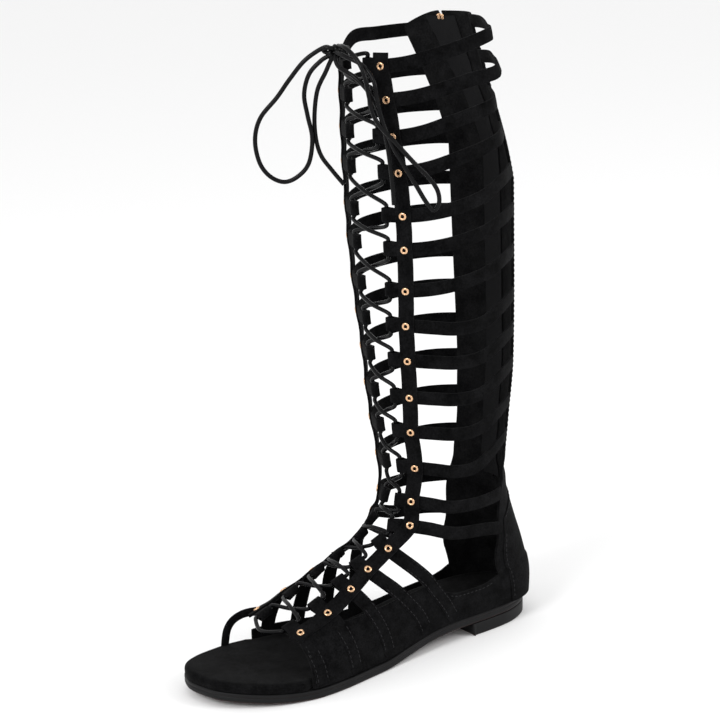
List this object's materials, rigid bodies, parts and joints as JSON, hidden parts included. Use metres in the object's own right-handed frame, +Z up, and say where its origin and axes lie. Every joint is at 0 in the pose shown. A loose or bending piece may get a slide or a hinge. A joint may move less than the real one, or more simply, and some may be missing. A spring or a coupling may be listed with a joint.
{
  "type": "gladiator sandal",
  "caption": "Knee-high open-toe gladiator sandal with laced strap rings, a zipped back panel, a bow and a flat sole",
  "frame": {"origin": "on the ground under the middle of the heel block", "axes": "+Z up the leg, -Y towards the toe, +X to the outer side of the left foot"},
  "size_m": [0.1026, 0.2524, 0.3989],
  "materials": {
    "suede": "matte suede",
    "sole_rubber": "matte",
    "cord": "waxed",
    "tape": "woven",
    "brass": "polished"
  },
  "bodies": {
    "sandal": {"outsole": "sole_rubber", "heel": "sole_rubber", "insole": "suede", "upper": "suede", "lace": "cord", "lace_knot": "cord", "lace_loop_medial": "cord", "lace_loop_lateral": "cord", "lace_end_medial": "cord", "lace_end_lateral": "cord", "zip": "tape", "zip_slider": "brass", "stud_lateral_01": "brass", "stud_lateral_02": "brass", "stud_lateral_03": "brass", "stud_lateral_04": "brass", "stud_lateral_05": "brass", "stud_lateral_06": "brass", "stud_lateral_07": "brass", "stud_lateral_08": "brass", "stud_lateral_09": "brass", "stud_lateral_10": "brass", "stud_lateral_11": "brass", "stud_lateral_12": "brass", "stud_lateral_13": "brass", "stud_lateral_14": "brass", "stud_lateral_15": "brass", "stud_lateral_16": "brass", "stud_lateral_17": "brass", "stud_lateral_18": "brass", "stud_lateral_19": "brass", "stud_medial_01": "brass", "stud_medial_02": "brass", "stud_medial_03": "brass", "stud_medial_04": "brass", "stud_medial_05": "brass", "stud_medial_06": "brass", "stud_medial_07": "brass", "stud_medial_08": "brass", "stud_medial_09": "brass", "stud_medial_10": "brass", "stud_medial_11": "brass", "stud_medial_12": "brass", "stud_medial_13": "brass", "stud_medial_14": "brass", "stud_medial_15": "brass", "stud_medial_16": "brass", "stud_medial_17": "brass", "stud_medial_18": "brass", "stud_medial_19": "brass"},
    "zip_tab": {"zip_pull": "brass"}
  },
  "joints": [
    {"name": "zip_tab_hinge", "type": "hinge", "parent": "sandal", "child": "zip_tab", "pos_m": [-0.01811, 0.00629, 0.38876], "axis": [0.9489, 0.0733, 0.3069], "range_deg": [0, 165]}
  ]
}
